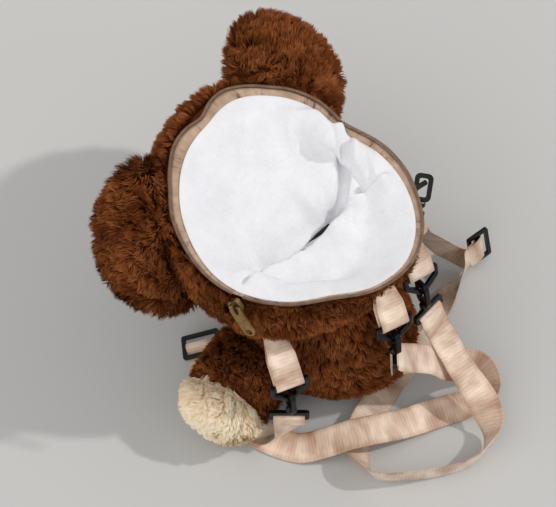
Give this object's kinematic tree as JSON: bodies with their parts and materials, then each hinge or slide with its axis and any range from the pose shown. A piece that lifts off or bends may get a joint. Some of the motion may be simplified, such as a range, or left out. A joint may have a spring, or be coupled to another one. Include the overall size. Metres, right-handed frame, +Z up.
{
  "type": "plush animal backpack",
  "caption": "Sitting plush animal backpack with round ears and cream feet, its head zip open to show a white lining, with clip-on webbing straps lying on the floor.",
  "frame": {"origin": "on the floor, on the flat seat, under the middle of the open mouth", "axes": "+Z up, -Y the way the animal faces, +X towards the animal's own left"},
  "size_m": [0.2998, 0.3405, 0.203],
  "materials": {
    "brown_fur": "long-pile plush, brown",
    "cream_fur": "long-pile plush, cream",
    "nose_cloth": "dark brown satin",
    "bead": "black gloss bead",
    "white_cotton": "white woven lining",
    "zip_tape": "tan woven zip tape",
    "zip_coil": "tan nylon coil",
    "antique_brass": "antique brass",
    "satin_webbing": "ribbed satin webbing, beige",
    "black_plastic": "moulded black plastic"
  },
  "bodies": {
    "bag": {"torso": "brown_fur", "head_front": "brown_fur", "head_back": "brown_fur", "ear_left": "brown_fur", "ear_right": "brown_fur", "leg_left": "brown_fur", "leg_right": "brown_fur", "foot_left": "cream_fur", "foot_right": "cream_fur", "muzzle": "cream_fur", "nose": "nose_cloth", "eye_left": "bead", "eye_right": "bead", "lining": "white_cotton", "zip_tape_front": "zip_tape", "zip_tape_back": "zip_tape", "zip_coil_front": "zip_coil", "zip_coil_back": "zip_coil", "zip_slider": "antique_brass", "tab_side_left": "satin_webbing", "tab_back_left": "satin_webbing", "tab_back_right": "satin_webbing", "tab_side_right": "satin_webbing", "ring_side_left": "black_plastic", "ring_back_left": "black_plastic", "ring_back_right": "black_plastic", "ring_side_right": "black_plastic", "hook_side_left": "black_plastic", "hook_back_left": "black_plastic", "hook_back_right": "black_plastic", "hook_side_right": "black_plastic", "base_side_left": "black_plastic", "base_back_left": "black_plastic", "base_back_right": "black_plastic", "base_side_right": "black_plastic", "glide_left": "black_plastic", "glide_right": "black_plastic", "strap_left": "satin_webbing", "strap_right": "satin_webbing"},
    "zip_pull": {"zip_pull": "antique_brass"}
  },
  "joints": [
    {"name": "zip_pull_hinge", "type": "hinge", "parent": "bag", "child": "zip_pull", "pos_m": [0.10099, 0.01741, 0.17531], "axis": [0.2814, -0.7564, -0.5905], "range_deg": [0, 160]}
  ]
}
